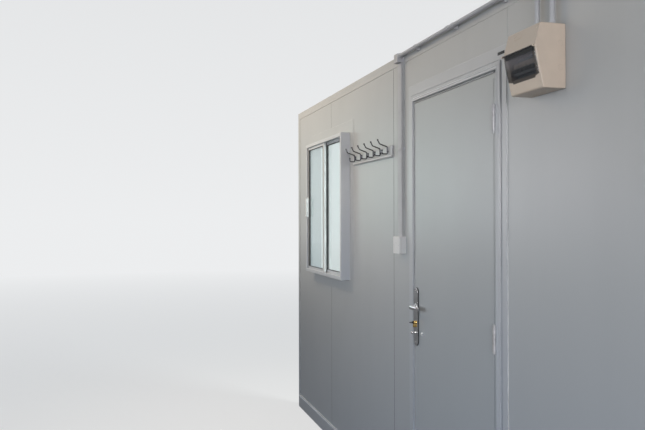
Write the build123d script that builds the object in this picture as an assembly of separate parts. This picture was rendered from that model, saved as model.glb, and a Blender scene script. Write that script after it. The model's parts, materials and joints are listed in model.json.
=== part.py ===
"""Side wall of a portable site cabin, with its window, steel door, coat rail and electrics.

Millimetres. X runs along the wall, from the room's far corner to the near end, Y runs through
the wall with the room on the -Y side, and Z is up. The origin is on the underside of the floor
channel, in the middle of the wall's length and thickness.
"""
import math
import os

from build123d import *

# Wall
wall_height = 2400.0
wall_thickness = 50.0
corner_bay = 954.0
bay = 1200.0
channel_steel = 2.0
channel_flange = 50.0
joint_chamfer = 2.0
tongue_width = 16.0
tongue_depth = 8.0
slip = 0.3
cut_over = 1.0

# Doorway and door frame
leaf_width = 820.0
leaf_thickness = 40.0
leaf_bottom = 20.0
over_door = 188.0
lock_gap = 8.0
hinge_gap = 6.0
head_gap = 11.0
jamb_face = 70.0
head_face = 86.0
frame_proud = 12.0
lip_width = 30.0
lip_rise = 6.0
lip_round = 3.0
groove_width = 5.0
groove_depth = 3.0
flat_round = 2.0
leaf_setback = 4.0
stop_width = 15.0
seal_thickness = 4.5
seal_width = 10.0
seal_clearance = 0.5
sill_height = 12.0
sill_upstand = 32.0

# Door leaf
skin_thickness = 1.5
skin_margin = 19.0
forend_width = 22.0
forend_above = 70.0
forend_below = 165.0
forend_thickness = 3.0
strike_above = 60.0
strike_below = 90.0
latch_height = 26.0
latch_width = 13.0
latch_show = 3.0
latch_drop = 17.0
latch_play = 1.0

# Hinges
hinge_height = 110.0
top_hinge_drop = 181.0
bottom_hinge_rise = 170.0
knuckle_radius = 7.0
pin_radius = 3.5
pin_clearance = 0.06
knuckle_gap = 0.5
hinge_plate = 2.5
hinge_plate_depth = 30.0
axis_from_face = 21.0
finial_height = 4.0

# Handle set
plate_width = 44.0
plate_height = 288.0
plate_thickness = 9.0
plate_edge_round = 2.5
plate_from_edge = 7.0
plate_above_lever = 95.0
lever_height = 1097.0
lever_reach = 34.0
lever_length = 106.0
lever_half_height = 10.0
lever_half_depth = 7.0
lever_bend = 15.0
lever_tip_round = 4.0
neck_radius = 11.0
neck_length = 14.0
spindle_side = 8.0
spindle_hole = 7.0
running_gap = 0.3
cylinder_drop = 78.0
cylinder_radius = 8.5
cylinder_web = 10.0
cylinder_web_drop = 24.5
cylinder_show = 12.0
key_slot = 4.0
turn_width = 24.0
turn_depth = 18.0
turn_thickness = 5.0
turn_stem = 3.5
turn_socket = 10.0

# Window
window_width = 896.0
window_height = 954.0
window_drop = 308.0
window_to_joint = 17.0
window_proud = 64.0
window_frame_width = 24.0
window_edge_round = 2.0
window_band = 76.0
band_thickness = 2.0
sash_width = 24.0
sash_thickness = 16.0
track_depth = 6.0
track_setback = 10.0
track_pitch = 22.0
sash_overlap = 30.0
glass_thickness = 5.0
glass_bite = 8.0
window_latch_height = 155.0
window_latch_width = 22.0
window_latch_depth = 24.0
window_latch_rise = 405.0
window_latch_round = 5.0
outer_flange = 30.0
outer_flange_thickness = 4.0

# Coat rail
rail_from_window = 20.0
rail_from_trunking = 105.0
rail_drop = 464.0
rail_height = 63.0
rail_thickness = 12.0
hook_count = 6
hook_margin = 48.0
hook_rod = 3.5
hook_root_rise = 57.0
hook_stem = 39.0
hook_reach = 46.0
hook_rise = 16.0
hook_tip = 22.0
hook_tip_lean = 10.0
hook_return = 31.0
hook_return_tip = 21.0
hook_bend = 9.0
hook_return_bend = 10.0
hook_ball = 5.0
rose_radius = 6.0
rose_thickness = 2.0

# Light switch and trunking
trunking_width = 50.0
trunking_depth = 16.0
trunking_round = 2.0
trunking_from_frame = 75.0
switch_side = 90.0
switch_depth = 38.0
switch_from_frame = 53.0
switch_bottom = 1352.0
switch_round = 4.0
rocker_width = 26.0
rocker_height = 38.0
rocker_show = 3.0
rocker_seat = 4.0

# Conduit
conduit_radius = 10.0
conduit_bore = 8.5
conduit_standoff = 14.0
conduit_drop = 13.0
conduit_bend = 40.0
saddle_width = 14.0
saddle_thickness = 2.0
saddle_ear = 6.0
saddle_count = 3
board_conduit_spacing = 92.0
board_conduit_offset = 14.0
conduit_box_height = 46.0
conduit_box_depth = 38.0

# Distribution board
board_from_frame = 174.0
board_width = 205.0
board_drop = 210.0
board_height = 218.0
board_top_depth = 98.0
board_apex_depth = 118.0
board_bottom_depth = 86.0
board_apex_rise = 142.0
board_round = 8.0
board_side_round = 3.5
board_back_round = 5.0
board_wall = 3.0
back_box_depth = 38.0
flap_start = 2.0
flap_height = 106.0
flap_width = 193.0
flap_thickness = 2.5
flap_lift = 1.0
flap_barrel = 3.0
flap_pin = 1.4
flap_notch = 9.0
flap_notch_width = 26.0
pin_hole_clearance = 0.1
lug_thickness = 5.0
lug_rim = 1.0
lug_root = 8.0
cover_opening_margin = 12.0
module_width = 17.5
module_gap = 0.3
module_count = 9
module_height = 78.0
module_body = 48.0
module_nose = 16.0
module_nose_height = 45.0
toggle_height = 20.0
toggle_depth = 8.0
toggle_inset = 5.0
rail_web = 2.0
rail_depth = 24.0
din_height = 34.0
din_channel = 24.0

# Skirting
skirting_height = 90.0
skirting_thickness = 14.0
skirting_round = 6.0

# Worked out from the sizes above
wall_length = corner_bay + 3 * bay
inner_face = -wall_thickness / 2
outer_face = wall_thickness / 2
channel_face = inner_face - channel_steel
panel_bottom = channel_steel
panel_top = wall_height - channel_steel
frame_near = corner_bay + 2 * bay
leaf_near = frame_near - jamb_face - hinge_gap
leaf_far = leaf_near - leaf_width
door_far = leaf_far - lock_gap
door_near = leaf_near + hinge_gap
frame_far = door_far - jamb_face
frame_top = panel_top - over_door
door_top = frame_top - head_face
leaf_top = door_top - head_gap
frame_front = inner_face - frame_proud
frame_flat = frame_front + lip_rise
frame_back = outer_face + lip_rise
leaf_front = frame_front + leaf_setback
leaf_back = leaf_front + leaf_thickness
lock_line = (leaf_front + leaf_back) / 2
stop_front = leaf_back + seal_clearance + seal_thickness
axis_s = leaf_near + hinge_gap / 2
axis_y = inner_face - axis_from_face
bottom_hinge = leaf_bottom + bottom_hinge_rise
top_hinge = leaf_top - top_hinge_drop
hinge_centres = (bottom_hinge, (bottom_hinge + top_hinge) / 2, top_hinge)
plate_centre = leaf_far + plate_from_edge + plate_width / 2
cylinder_height = lever_height - cylinder_drop
window_far = corner_bay - window_to_joint - window_width / 2
window_near = window_far + window_width
window_top = wall_height - window_drop
window_bottom = window_top - window_height
trunking_near = frame_far - trunking_from_frame
trunking_far = trunking_near - trunking_width
switch_near = frame_far - switch_from_frame
rail_far = window_near + window_band + rail_from_window
rail_near = trunking_far - rail_from_trunking
rail_bottom = wall_height - rail_drop - rail_height
board_far = frame_near + board_from_frame
board_near = board_far + board_width
board_middle = (board_far + board_near) / 2
board_top = wall_height - board_drop
board_bottom = board_top - board_height
board_apex = board_bottom + board_apex_rise
flap_axis_y = inner_face - board_apex_depth - flap_barrel - flap_lift
flap_axis_z = board_apex - flap_barrel


def along(s):
    """X of a place s millimetres from the wall's far end."""
    return s - wall_length / 2


def block(s0, s1, y0, y1, z0, z1):
    """Box between two corners, its length given from the wall's far end."""
    middle = ((along(s0) + along(s1)) / 2, (y0 + y1) / 2, (z0 + z1) / 2)
    return Pos(*middle) * Box(s1 - s0, y1 - y0, z1 - z0)


def bar_x(points, s0, s1):
    """Bar along X whose section is a closed outline of (y, z) points."""
    outline = Polyline(*[(0, y, z) for y, z in points], close=True)
    bar = extrude(make_face(outline), s1 - s0, dir=(1, 0, 0))
    return Pos(along(s0), 0, 0) * bar


def bar_z(points, z0, z1):
    """Upright bar whose section is a closed outline of (s, y) points."""
    outline = Polyline(*[(along(s), y, z0) for s, y in points], close=True)
    return extrude(make_face(outline), z1 - z0, dir=(0, 0, 1))


def rod_y(s, z, radius, y0, y1):
    """Round rod along Y."""
    turned = Pos(along(s), (y0 + y1) / 2, z) * Rot(90, 0, 0)
    return turned * Cylinder(radius, y1 - y0)


def rod_z(s, y, radius, z0, z1):
    """Upright round rod."""
    return Pos(along(s), y, (z0 + z1) / 2) * Cylinder(radius, z1 - z0)


def rod_x(s0, s1, y, z, radius):
    """Round rod along X."""
    return Pos(along((s0 + s1) / 2), y, z) * Rot(0, 90, 0) * Cylinder(radius, s1 - s0)


def highest(edges):
    """The edge whose middle lies highest."""
    return max(edges, key=lambda edge: edge.center().Z)


def edges_at(solid, axis, value, along_axis=None):
    """Edges whose middle has a given X, Y or Z, if asked only those that run along an axis."""
    edges = solid.edges().filter_by(along_axis) if along_axis else solid.edges()
    return [edge for edge in edges if abs(getattr(edge.center(), axis) - value) < 0.01]


def ring(s0, s1, z0, z1, width, y0, y1):
    """Flat rectangular ring, its outer edge at the given corners."""
    hole = block(s0 + width, s1 - width, y0 - cut_over, y1 + cut_over, z0 + width, z1 - width)
    return block(s0, s1, y0, y1, z0, z1) - hole


def wall_panel(s0, s1, z0, z1, groove=True, tongue=True, far_joint=True, near_joint=True):
    """Flat sandwich panel with V joints, a groove at its far edge and a tongue at its near edge."""
    panel = block(s0, s1, inner_face, outer_face, z0, z1)
    if far_joint:
        panel = chamfer(edges_at(panel, "X", along(s0), Axis.Z), joint_chamfer)
    if near_joint:
        panel = chamfer(edges_at(panel, "X", along(s1), Axis.Z), joint_chamfer)
    if groove:
        half = tongue_width / 2 + slip
        panel -= block(s0, s0 + tongue_depth + slip, -half, half, z0, z1)
    if tongue:
        panel += block(s1, s1 + tongue_depth, -tongue_width / 2, tongue_width / 2, z0, z1)
    return panel


def make_panels():
    """The wall's panels, bay by bay, cut through at the window and split round the doorway."""
    first_joint = corner_bay
    second_joint = corner_bay + bay
    opening = block(window_far, window_near, inner_face - cut_over, outer_face + cut_over, window_bottom,
                    window_top)
    corner = wall_panel(channel_steel, first_joint, panel_bottom, panel_top, groove=False, far_joint=False)
    window = wall_panel(first_joint, second_joint, panel_bottom, panel_top)
    switch = wall_panel(second_joint, frame_far, panel_bottom, panel_top, tongue=False, near_joint=False)
    over = wall_panel(frame_far, frame_near, frame_top, panel_top, groove=False, far_joint=False)
    board = wall_panel(frame_near, wall_length - channel_steel, panel_bottom, panel_top, tongue=False,
                       near_joint=False)
    return {"corner_panel": corner - opening, "window_panel": window - opening, "switch_panel": switch,
            "over_door_panel": over, "board_panel": board}


def floor_channel(s0, s1):
    """Folded channel, open upwards, that the panels stand in."""
    outer = block(s0, s1, channel_face, outer_face + channel_steel, 0, channel_flange)
    return outer - block(s0, s1, inner_face, outer_face, channel_steel, channel_flange)


def make_channels():
    """Floor, head and end channels that frame the panels."""
    head = Pos(0, 0, wall_height) * Rot(180, 0, 0) * floor_channel(0, wall_length)
    post_top = wall_height - channel_flange
    post = block(0, channel_flange, channel_face, outer_face + channel_steel, channel_flange, post_top)
    post -= block(channel_steel, channel_flange, inner_face, outer_face, channel_flange, post_top)
    return {"floor_channel_far": floor_channel(0, frame_far),
            "floor_channel_near": floor_channel(frame_near, wall_length), "head_channel": head,
            "end_channel_far": post, "end_channel_near": Rot(0, 0, 180) * post}


def frame_section(face):
    """Section of the door frame as (distance out from the doorway, y): lip, groove, flat and stop."""
    return [(0, frame_front), (lip_width, frame_front), (lip_width, frame_flat + groove_depth),
            (lip_width + groove_width, frame_flat + groove_depth), (lip_width + groove_width, frame_flat),
            (face, frame_flat), (face, frame_back), (-stop_width, frame_back), (-stop_width, stop_front),
            (0, stop_front)]


def soften_frame(bar, axis):
    """Rounds the lip's two edges and the flat's outer edge."""
    bar = fillet(edges_at(bar, "Y", frame_front, axis), lip_round)
    flat_edges = edges_at(bar, "Y", frame_flat, axis)
    place = "X" if axis == Axis.Z else "Z"
    middle = 0.0 if axis == Axis.X else along((frame_far + frame_near) / 2)
    outermost = max(flat_edges, key=lambda edge: abs(getattr(edge.center(), place) - middle))
    return fillet(outermost, flat_round)


def mitre_prism():
    """Space above the two mitred corners of the door frame."""
    inward = stop_width + cut_over
    outward = jamb_face + cut_over
    above = frame_top + head_face
    points = [(door_far + inward, door_top - inward), (door_far - outward, door_top + outward),
              (door_far - outward, above), (door_near + outward, above),
              (door_near + outward, door_top + outward), (door_near - inward, door_top - inward)]
    outline = Polyline(*[(along(s), frame_front - cut_over, z) for s, z in points], close=True)
    return extrude(make_face(outline), frame_back - frame_front + 2 * cut_over, dir=(0, 1, 0))


def make_door_frame():
    """Pressed steel door frame with mitred corners, its sill, its seal and the strike plate."""
    lock_section = [(door_far - out, y) for out, y in frame_section(jamb_face)]
    hinge_section = [(door_near + out, y) for out, y in frame_section(jamb_face)]
    head_section = [(y, door_top + out) for out, y in frame_section(head_face)]
    above = mitre_prism()
    lock_jamb = soften_frame(bar_z(lock_section, 0, frame_top), Axis.Z) - above
    hinge_jamb = soften_frame(bar_z(hinge_section, 0, frame_top), Axis.Z) - above
    head = soften_frame(bar_x(head_section, frame_far, frame_near), Axis.X) & above
    hinge_jamb -= hinge_recesses(door_near, 1, frame_front)
    sill = block(door_far, door_near, channel_face, stop_front, 0, sill_height)
    sill = fillet(highest(edges_at(sill, "Y", channel_face, Axis.X)), lip_round)
    sill += block(door_far + stop_width, door_near - stop_width, stop_front, frame_back, 0, sill_upstand)
    strike = block(door_far - forend_thickness, door_far, lock_line - forend_width / 2,
                   lock_line + forend_width / 2, lever_height - strike_below, lever_height + strike_above)
    lock_jamb -= strike
    latch_z = lever_height - latch_drop
    latch_hole = block(door_far - forend_thickness, door_far, lock_line - latch_width / 2 - latch_play,
                       lock_line + latch_width / 2 + latch_play, latch_z - latch_height / 2 - latch_play,
                       latch_z + latch_height / 2 + latch_play)
    return {"lock_jamb": lock_jamb, "hinge_jamb": hinge_jamb, "frame_head": head, "door_sill": sill,
            "door_seal": door_seal(), "strike_plate": strike - latch_hole}


def door_seal():
    """Rubber strip on the stops, up both jambs and across the head."""
    y0 = stop_front - seal_thickness
    far = door_far + stop_width - seal_width
    near = door_near - stop_width + seal_width
    top = door_top - stop_width + seal_width
    seal = block(far, near, y0, stop_front, sill_height, top)
    return seal - block(far + seal_width, near - seal_width, y0, stop_front, sill_height, top - seal_width)


def hinge_recesses(s, side, front):
    """Shallow recesses for the three hinge plates, in a face at s, cut towards side."""
    cuts = Part()
    for centre in hinge_centres:
        cuts += hinge_plate_block(s, side, centre, front)
    return cuts


def hinge_plate_block(s, side, centre, front):
    """One hinge plate let into a face at s, from the front of that face into the wall."""
    ends = sorted((s, s + side * hinge_plate))
    return block(ends[0], ends[1], front, leaf_front + hinge_plate_depth,
                 centre - hinge_height / 2, centre + hinge_height / 2)


def make_hinges():
    """Three butt hinges: the frame's outer knuckles with the pin, and the leaf's middle knuckle."""
    frame_side = Part()
    leaf_side = Part()
    third = hinge_height / 3
    tab_front = axis_y + hinge_plate
    for centre in hinge_centres:
        bottom = centre - hinge_height / 2
        top = centre + hinge_height / 2
        frame_side += hinge_plate_block(door_near, 1, centre, frame_front)
        frame_side += rod_z(axis_s, axis_y, pin_radius, bottom - finial_height, top + finial_height)
        for low, high in ((bottom, bottom + third), (top - third, top)):
            frame_side += rod_z(axis_s, axis_y, knuckle_radius, low, high)
            frame_side += block(door_near, door_near + hinge_plate, tab_front, frame_front, low, high)
        low = bottom + third + knuckle_gap
        high = top - third - knuckle_gap
        leaf_hinge = hinge_plate_block(leaf_near, -1, centre, leaf_front)
        leaf_hinge += block(leaf_near - hinge_plate, leaf_near, tab_front, leaf_front, low, high)
        leaf_hinge += rod_z(axis_s, axis_y, knuckle_radius, low, high)
        leaf_side += leaf_hinge - rod_z(axis_s, axis_y, pin_radius + pin_clearance, low, high)
    return {"frame_hinges": frame_side, "leaf_hinges": leaf_side}


def profile_cylinder(y0, y1):
    """Bar with the section of a profile cylinder: a round over a narrower web."""
    half = cylinder_web / 2
    bottom = cylinder_height - cylinder_web_drop + half
    bar = rod_y(plate_centre, cylinder_height, cylinder_radius, y0, y1)
    bar += block(plate_centre - half, plate_centre + half, y0, y1, bottom, cylinder_height)
    return bar + rod_y(plate_centre, bottom, half, y0, y1)


def lock_holes(y0, y1):
    """Holes for the spindle and the lock cylinder."""
    return rod_y(plate_centre, lever_height, spindle_hole, y0, y1) + profile_cylinder(y0, y1)


def make_door_leaf():
    """Steel faced leaf with its raised skins, the lock's edge plate and the latch."""
    core = block(leaf_far, leaf_near, leaf_front + skin_thickness, leaf_back - skin_thickness, leaf_bottom,
                 leaf_top)
    skin_ends = (leaf_far + skin_margin, leaf_near - skin_margin)
    skin_heights = (leaf_bottom + skin_margin, leaf_top - skin_margin)
    inside = block(*skin_ends, leaf_front, leaf_front + skin_thickness, *skin_heights)
    outside = block(*skin_ends, leaf_back - skin_thickness, leaf_back, *skin_heights)
    forend = block(leaf_far, leaf_far + forend_thickness, lock_line - forend_width / 2,
                   lock_line + forend_width / 2, lever_height - forend_below, lever_height + forend_above)
    core -= hinge_recesses(leaf_near, -1, leaf_front)
    core -= forend
    y0 = lock_line - latch_width / 2
    y1 = lock_line + latch_width / 2
    latch_bottom = lever_height - latch_drop - latch_height / 2
    latch_top = latch_bottom + latch_height
    latch = bar_z([(leaf_far - latch_show, y0), (leaf_far + forend_thickness, y0),
                   (leaf_far + forend_thickness, y1), (leaf_far, y1)], latch_bottom, latch_top)
    forend -= block(leaf_far, leaf_far + forend_thickness, y0, y1, latch_bottom, latch_top)
    through = lock_holes(leaf_front - cut_over, leaf_back + cut_over)
    return {"door_core": core - through, "door_skin_inside": inside - through,
            "door_skin_outside": outside - through, "lock_forend": forend, "latch_bolt": latch}


def back_plate(face, side):
    """Handle back plate with arched ends, standing on a face of the leaf."""
    middle = lever_height + plate_above_lever - plate_height / 2
    outline = RectangleRounded(plate_width, plate_height, plate_width / 2 - slip)
    lying = Plane(origin=(along(plate_centre), face, middle), x_dir=(1, 0, 0), z_dir=(0, side, 0))
    plate = extrude(lying * outline, plate_thickness)
    plate = fillet(edges_at(plate, "Y", face + side * plate_thickness), plate_edge_round)
    low, high = sorted((face, face + side * plate_thickness))
    return plate - lock_holes(low - cut_over, high + cut_over)


def lever(face, side):
    """Oval lever with its neck and half of the spindle, bent towards the hinges."""
    start = face + side * (plate_thickness + running_gap)
    out = start + side * lever_reach
    x0 = along(plate_centre)
    route = FilletPolyline((x0, start, lever_height), (x0, out, lever_height),
                           (x0 + lever_length, out, lever_height), radius=lever_bend)
    mouth = Plane(origin=(x0, start, lever_height), x_dir=(1, 0, 0), z_dir=(0, side, 0))
    body = sweep(mouth * Ellipse(lever_half_depth, lever_half_height), path=route)
    body = fillet(edges_at(body, "X", x0 + lever_length), lever_tip_round)
    low, high = sorted((start, start + side * neck_length))
    body += rod_y(plate_centre, lever_height, neck_radius, low, high)
    low, high = sorted((lock_line + side * running_gap / 2, start))
    half = spindle_side / 2
    return body + block(plate_centre - half, plate_centre + half, low, high, lever_height - half,
                        lever_height + half)


def make_handle_set():
    """Back plates and levers on both sides, the lock cylinder and its thumb turn."""
    front = leaf_front - plate_thickness - cylinder_show
    back = leaf_back + plate_thickness + cylinder_show
    cylinder = profile_cylinder(front, back)
    cylinder -= block(plate_centre - key_slot / 4, plate_centre + key_slot / 4, back - key_slot, back,
                      cylinder_height - key_slot, cylinder_height + key_slot)
    cylinder -= rod_y(plate_centre, cylinder_height, turn_stem + running_gap, front, front + turn_socket)
    turn_back = front - running_gap
    turn_front = turn_back - turn_depth
    grip = block(plate_centre - turn_width / 2, plate_centre + turn_width / 2, turn_front, turn_back,
                 cylinder_height - turn_thickness / 2, cylinder_height + turn_thickness / 2)
    grip = fillet(edges_at(grip, "Y", turn_front, Axis.Z), turn_depth / 3)
    grip += rod_y(plate_centre, cylinder_height, turn_stem, turn_back - cut_over,
                  front + turn_socket - running_gap)
    return {"plate_inside": back_plate(leaf_front, -1), "plate_outside": back_plate(leaf_back, 1),
            "lever_inside": lever(leaf_front, -1), "lever_outside": lever(leaf_back, 1),
            "lock_cylinder": cylinder, "thumb_turn": grip}


def make_window():
    """Box frame that stands out into the room, with two sashes on two tracks."""
    front = inner_face - window_proud
    frame = ring(window_far, window_near, window_bottom, window_top, window_frame_width, front, outer_face)
    room_track = front + track_setback
    yard_track = room_track + track_pitch
    clear_far = window_far + window_frame_width
    clear_near = window_near - window_frame_width
    clear_low = window_bottom + window_frame_width
    clear_high = window_top - window_frame_width
    for track in (room_track, yard_track):
        frame -= block(clear_far, clear_near, track, track + sash_thickness + 2 * slip,
                       clear_low - track_depth, clear_high + track_depth)
    frame = fillet(edges_at(frame, "Y", front), window_edge_round)
    sash_span = (clear_near - clear_far + sash_overlap) / 2
    z0 = clear_low - track_depth + slip
    z1 = clear_high + track_depth - slip
    inset = sash_width - glass_bite
    pieces = {}
    panes = Part()
    for name, s0, s1, track in (("sash_far", clear_far, clear_far + sash_span, room_track),
                                ("sash_near", clear_near - sash_span, clear_near, yard_track)):
        y0 = track + slip
        middle = y0 + sash_thickness / 2
        pane = block(s0 + inset, s1 - inset, middle - glass_thickness / 2, middle + glass_thickness / 2,
                     z0 + inset, z1 - inset)
        pieces[name] = ring(s0, s1, z0, z1, sash_width, y0, y0 + sash_thickness) - pane
        panes += pane
    pieces["window_frame"] = frame
    pieces["window_glass"] = panes
    pieces["window_band"] = ring(window_far - window_band, window_near + window_band, window_bottom - window_band,
                                 window_top + window_band, window_band, inner_face - band_thickness, inner_face)
    pieces["window_flange"] = ring(window_far - outer_flange, window_near + outer_flange,
                                   window_bottom - outer_flange, window_top + outer_flange,
                                   outer_flange + window_frame_width - track_depth, outer_face,
                                   outer_face + outer_flange_thickness)
    latch_far = clear_far + (sash_width - window_latch_width) / 2
    latch_bottom = window_bottom + window_latch_rise
    latch_back = room_track + slip
    latch = block(latch_far, latch_far + window_latch_width, latch_back - window_latch_depth, latch_back,
                  latch_bottom, latch_bottom + window_latch_height)
    pieces["window_latch"] = fillet(edges_at(latch, "Y", latch_back - window_latch_depth), window_latch_round)
    return pieces


def coat_hook(s):
    """Double coat hook of bent rod on a round rose: a long upper arm and a short return below."""
    x0 = along(s)
    root_y = inner_face - rail_thickness - rose_thickness - hook_rod
    tip_y = root_y - hook_reach
    return_y = root_y - hook_return
    top = rail_bottom + hook_root_rise
    low = top - hook_stem
    middle = rail_bottom + rail_height / 2
    arm = FilletPolyline((x0, root_y, middle), (x0, root_y, top), (x0, tip_y, top + hook_rise),
                         (x0, tip_y - hook_tip_lean, top + hook_rise + hook_tip), radius=hook_bend)
    upwards = Plane(origin=(x0, root_y, middle), x_dir=(1, 0, 0), z_dir=(0, 0, 1))
    hook = sweep(upwards * Circle(hook_rod), path=arm)
    back = FilletPolyline((x0, root_y, middle), (x0, root_y, low), (x0, return_y, low),
                          (x0, return_y, low + hook_return_tip), radius=hook_return_bend)
    downwards = Plane(origin=(x0, root_y, middle), x_dir=(1, 0, 0), z_dir=(0, 0, -1))
    hook += sweep(downwards * Circle(hook_rod), path=back)
    hook += Pos(x0, tip_y - hook_tip_lean, top + hook_rise + hook_tip) * Sphere(hook_ball)
    hook += Pos(x0, return_y, low + hook_return_tip) * Sphere(hook_ball)
    return hook + rod_y(s, middle, rose_radius, root_y, inner_face - rail_thickness)


def make_coat_rail():
    """White rail between the window and the trunking, with its row of hooks."""
    front = inner_face - rail_thickness
    rail = block(rail_far, rail_near, front, inner_face, rail_bottom, rail_bottom + rail_height)
    rail = fillet(edges_at(rail, "Y", front), rail_thickness / 4)
    first = rail_far + hook_margin
    pitch = (rail_near - hook_margin - first) / (hook_count - 1)
    hooks = Part()
    for number in range(hook_count):
        hooks += coat_hook(first + number * pitch)
    return {"coat_rail": rail, "coat_hooks": hooks}


def make_switch():
    """Surface switch box at the foot of its trunking."""
    far = switch_near - switch_side
    top = switch_bottom + switch_side
    front = inner_face - switch_depth
    box = block(far, switch_near, front, inner_face, switch_bottom, top)
    box = fillet(box.edges().filter_by(Axis.Y), switch_round)
    box = fillet(edges_at(box, "Y", front), switch_round / 2)
    centre = (far + switch_near) / 2
    middle = (switch_bottom + top) / 2
    rocker = block(centre - rocker_width / 2, centre + rocker_width / 2, front - rocker_show, front + rocker_seat,
                   middle - rocker_height / 2, middle + rocker_height / 2)
    box -= rocker
    rocker = fillet(edges_at(rocker, "Y", front - rocker_show), rocker_show / 3)
    trunking_front = inner_face - trunking_depth
    head = wall_height - conduit_box_height
    trunking = block(trunking_far, trunking_near, trunking_front, inner_face, top, head)
    trunking = fillet(edges_at(trunking, "Y", trunking_front, Axis.Z), trunking_round)
    box_front = inner_face - conduit_box_depth
    head_box = block(trunking_far, trunking_near, box_front, channel_face, head, wall_height)
    head_box = fillet(edges_at(head_box, "Y", box_front), trunking_round)
    trunking -= block(trunking_far, trunking_near, channel_face, inner_face, wall_height - channel_flange, head)
    return {"switch_box": box, "switch_rocker": rocker, "switch_trunking": trunking, "conduit_box": head_box}


def make_conduit():
    """Round conduit under the ceiling edge, from the trunking's head down into the board."""
    y = inner_face - conduit_standoff - conduit_radius
    z = wall_height - conduit_drop
    first = board_middle + board_conduit_offset - board_conduit_spacing / 2
    second = first + board_conduit_spacing
    start = trunking_near
    route = FilletPolyline((along(start), y, z), (along(first), y, z), (along(first), y, board_top),
                           radius=conduit_bend)
    mouth = Plane(origin=(along(start), y, z), z_dir=(1, 0, 0))
    run = sweep(mouth * (Circle(conduit_radius) - Circle(conduit_bore)), path=route)
    riser = rod_z(second, y, conduit_radius, board_top, wall_height)
    riser -= rod_z(second, y, conduit_bore, board_top, wall_height)
    saddles = Part()
    straight = first - conduit_bend - start
    for number in range(saddle_count):
        saddles += conduit_saddle(start + straight * (number + 0.5) / saddle_count, y, z)
    return {"ceiling_conduit": run, "board_riser": riser, "conduit_saddles": saddles}


def conduit_saddle(s, y, z):
    """Half saddle on a spacer that holds the conduit off the head channel, its ear on the lower side."""
    s0 = s - saddle_width / 2
    s1 = s + saddle_width / 2
    outer = conduit_radius + saddle_thickness
    foot = block(s0, s1, y, channel_face, z - outer - saddle_ear, z + outer)
    foot -= block(s0, s1, y, inner_face - conduit_standoff, z - outer - saddle_ear, z - outer)
    foot += rod_x(s0, s1, y, z, outer)
    return foot - rod_x(s0, s1, y, z, conduit_radius)


def board_body(s0, s1, inset):
    """Moulded body of the board between two ends, its outline drawn in by inset all round."""
    back = inner_face - inset
    low = board_bottom + inset
    high = board_top - inset
    return bar_x([(back, low), (inner_face - board_bottom_depth + inset, low),
                  (inner_face - board_apex_depth + inset, board_apex),
                  (inner_face - board_top_depth + inset, high), (back, high)], s0, s1)


def on_flap_slope(start, end, lift, thickness, width):
    """Slab on the board's lower slanted face, from start to end below the apex and lift off the face."""
    slope = math.atan2(board_apex_depth - board_bottom_depth, board_apex_rise)
    slab = Pos(0, -lift - thickness / 2, -(start + end) / 2) * Box(width, thickness, end - start)
    apex = Pos(along(board_middle), inner_face - board_apex_depth, board_apex)
    return apex * Rot(math.degrees(slope), 0, 0) * slab


def board_flap():
    """Smoked flap with a hinge barrel along its top and notches in its lower corners."""
    flap = on_flap_slope(flap_start, flap_height, flap_lift, flap_thickness, flap_width)
    for side in (-1, 1):
        notch = on_flap_slope(flap_height - flap_notch, flap_height + cut_over, flap_lift - cut_over,
                              flap_thickness + 2 * cut_over, flap_notch_width)
        flap -= Pos(side * (flap_width - flap_notch_width) / 2, 0, 0) * notch
    half = flap_width / 2
    flap += rod_x(board_middle - half, board_middle + half, flap_axis_y, flap_axis_z, flap_barrel)
    reach = half + lug_thickness
    return flap + rod_x(board_middle - reach, board_middle + reach, flap_axis_y, flap_axis_z, flap_pin)


def flap_lugs():
    """Two lugs on the cover that hold the flap's hinge pin."""
    lugs = Part()
    radius = flap_barrel + lug_rim
    for side in (-1, 1):
        inner = board_middle + side * (flap_width / 2 + slip)
        s0, s1 = sorted((inner, inner + side * lug_thickness))
        lugs += rod_x(s0, s1, flap_axis_y, flap_axis_z, radius)
        lugs += block(s0, s1, flap_axis_y, flap_axis_y + lug_root, flap_axis_z - radius, flap_axis_z + radius)
    return lugs


def make_board():
    """Distribution board: back box, moulded cover with its hinged flap, rail and breakers."""
    split = inner_face - back_box_depth
    body = board_body(board_far, board_near, 0)
    body = fillet([edge for edge in body.edges().filter_by(Axis.X) if edge.center().Y < split], board_round)
    body = fillet(edges_at(body, "Y", inner_face, Axis.X), board_back_round)
    sides = [edge for end in (board_far, board_near) for edge in edges_at(body, "X", along(end))]
    body = fillet([edge for edge in sides if edge.center().Y < inner_face - cut_over], board_side_round)
    hollow = board_body(board_far + board_wall, board_near - board_wall, board_wall)
    behind = block(board_far - cut_over, board_near + cut_over, split, inner_face + cut_over,
                   board_bottom - cut_over, board_top + cut_over)
    cover = body - hollow - behind
    cover -= on_flap_slope(cover_opening_margin + flap_start, flap_height - cover_opening_margin, -board_round * 2,
                           board_round * 4, module_width * module_count + 2 * module_gap)
    cover += flap_lugs() - hollow
    cover -= rod_x(board_far, board_near, flap_axis_y, flap_axis_z, flap_pin + pin_hole_clearance)
    rail_y = inner_face - board_wall - rail_depth
    middle = board_apex - (flap_start + flap_height) / 2
    rail = block(board_far + board_wall, board_near - board_wall, rail_y, inner_face - board_wall,
                 middle - din_height / 2, middle + din_height / 2)
    rail -= block(board_far + board_wall, board_near - board_wall, rail_y + rail_web, inner_face - board_wall,
                  middle - din_channel / 2, middle + din_channel / 2)
    return {"board_back_box": body - hollow & behind, "board_cover": cover, "board_flap": board_flap(),
            "board_rail": rail, "board_breakers": breakers(rail_y, middle)}


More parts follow.
